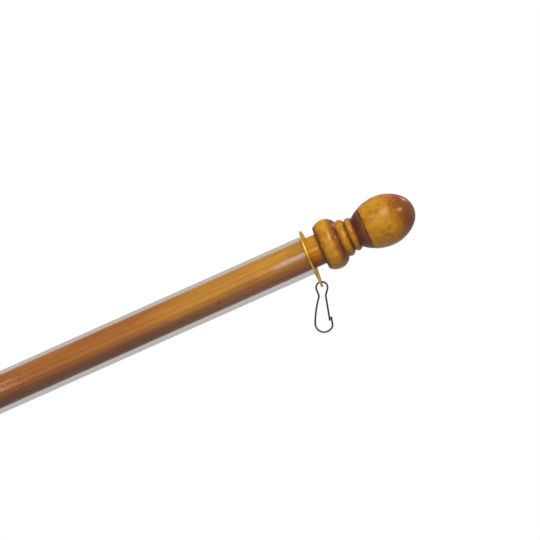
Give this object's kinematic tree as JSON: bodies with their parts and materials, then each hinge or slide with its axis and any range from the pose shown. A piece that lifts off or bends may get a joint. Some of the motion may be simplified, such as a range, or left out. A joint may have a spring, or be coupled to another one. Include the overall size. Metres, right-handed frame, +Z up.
{
  "type": "house flagpole",
  "caption": "Raked wooden house flagpole with a turned finial, a loose clear sleeve against wrapping, and a pear-shaped collar plate with a wire snap hook.",
  "frame": {"origin": "centre of the shaft's flat butt face, where the pole sits in its bracket or hand", "axes": "+Z up; the pole lies in the XZ plane and rises 24 degrees above +X from the butt to the finial, so the snap hook hangs along -Z; +Y to the side"},
  "size_m": [1.3049, 0.042, 0.6001],
  "materials": {
    "varnished_wood": "warm honey stain under gloss varnish, straight grain on the shaft and mottled figure on the knob",
    "clear_plastic": "clear, glossy, slightly hazy",
    "yellow_brass": "bright brass sheet, faintly rubbed",
    "spring_steel": "dark nickel-plated wire, satin",
    "black_rubber": "smooth moulded rubber"
  },
  "bodies": {
    "pole": {"shaft": "varnished_wood", "finial": "varnished_wood", "thrust_washer": "yellow_brass", "stop_ring": "black_rubber"},
    "sleeve": {"clear_sleeve": "clear_plastic"},
    "collar": {"collar_plate": "yellow_brass"},
    "hook": {"snap_hook": "spring_steel"},
    "gate": {"hook_gate": "spring_steel"}
  },
  "joints": [
    {"name": "sleeve_spin", "type": "hinge", "parent": "pole", "child": "sleeve", "pos_m": [0.86585, 0, 0.38484], "axis": [0.9135, 0, 0.4067], "continuous": true},
    {"name": "collar_spin", "type": "hinge", "parent": "pole", "child": "collar", "pos_m": [1.21556, 0, 0.5412], "axis": [0.9135, 0, 0.4067], "continuous": true},
    {"name": "hook_swing", "type": "hinge", "parent": "collar", "child": "hook", "pos_m": [1.22574, 0, 0.51428], "axis": [0, 1, 0], "range_deg": [-70, 60]},
    {"name": "gate_flex", "type": "hinge", "parent": "hook", "child": "gate", "pos_m": [1.22942, 0, 0.50451], "axis": [0, 1, 0], "range_deg": [0, 15], "stiffness_Nm_per_rad": 0.05, "springref_deg": -5.73}
  ]
}
